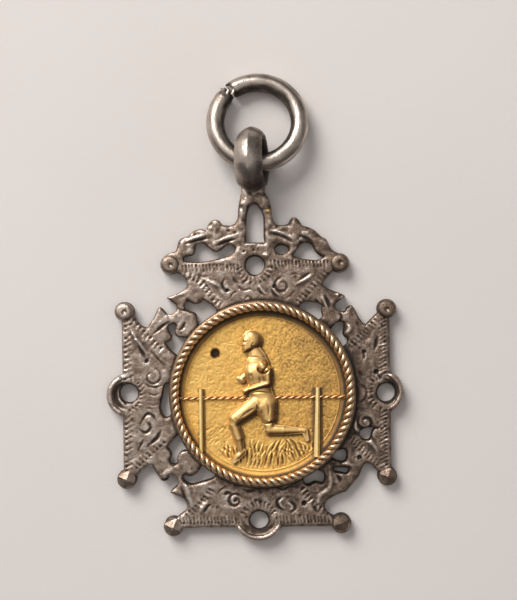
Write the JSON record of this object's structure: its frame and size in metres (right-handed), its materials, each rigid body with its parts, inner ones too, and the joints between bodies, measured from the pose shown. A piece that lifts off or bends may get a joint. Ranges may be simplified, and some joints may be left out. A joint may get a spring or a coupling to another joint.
{
  "type": "sports finisher medal",
  "caption": "Fob medal: pierced, engraved silver cross with a rope-edged gold roundel showing a runner at the tape, hung from a loop and an open jump ring.",
  "frame": {"origin": "centre of the cross, on the plane of its back", "axes": "+Z is the normal of the decorated face, +Y points from the cross to the suspension ring, +X completes the right-handed frame"},
  "size_m": [0.0298, 0.0469, 0.0063],
  "materials": {
    "silver_plate": "aged, engraved and tarnished in the recesses, worn bright on the edges",
    "silver_ring": "worn smooth, grey tarnish",
    "gold_border": "rose gold, worn bright on the strands",
    "gold_field": "matte, fine grain",
    "gold_relief": "polished relief"
  },
  "bodies": {
    "medal": {"cross_plate": "silver_plate", "suspension_loop": "silver_ring", "corner_stud_1": "silver_plate", "corner_stud_2": "silver_plate", "corner_stud_3": "silver_plate", "corner_stud_4": "silver_plate", "corner_stud_5": "silver_plate", "corner_stud_6": "silver_plate", "corner_stud_7": "silver_plate", "corner_stud_8": "silver_plate", "left_lobe_rim": "silver_plate", "right_lobe_rim": "silver_plate", "bottom_lobe_rim": "silver_plate", "roundel_collet": "gold_border", "rope_border": "gold_border", "backing_disc": "silver_plate", "field_disc": "gold_field", "runner_figure": "gold_relief", "post_left": "gold_relief", "post_right": "gold_relief", "finish_tape": "gold_relief"},
    "ring": {"jump_ring": "silver_ring"}
  },
  "joints": [
    {"name": "ring_swing", "type": "hinge", "parent": "medal", "child": "ring", "pos_m": [0.00045, 0.02305, 0.00255], "axis": [1, 0, 0], "range_deg": [-125, 188]}
  ]
}
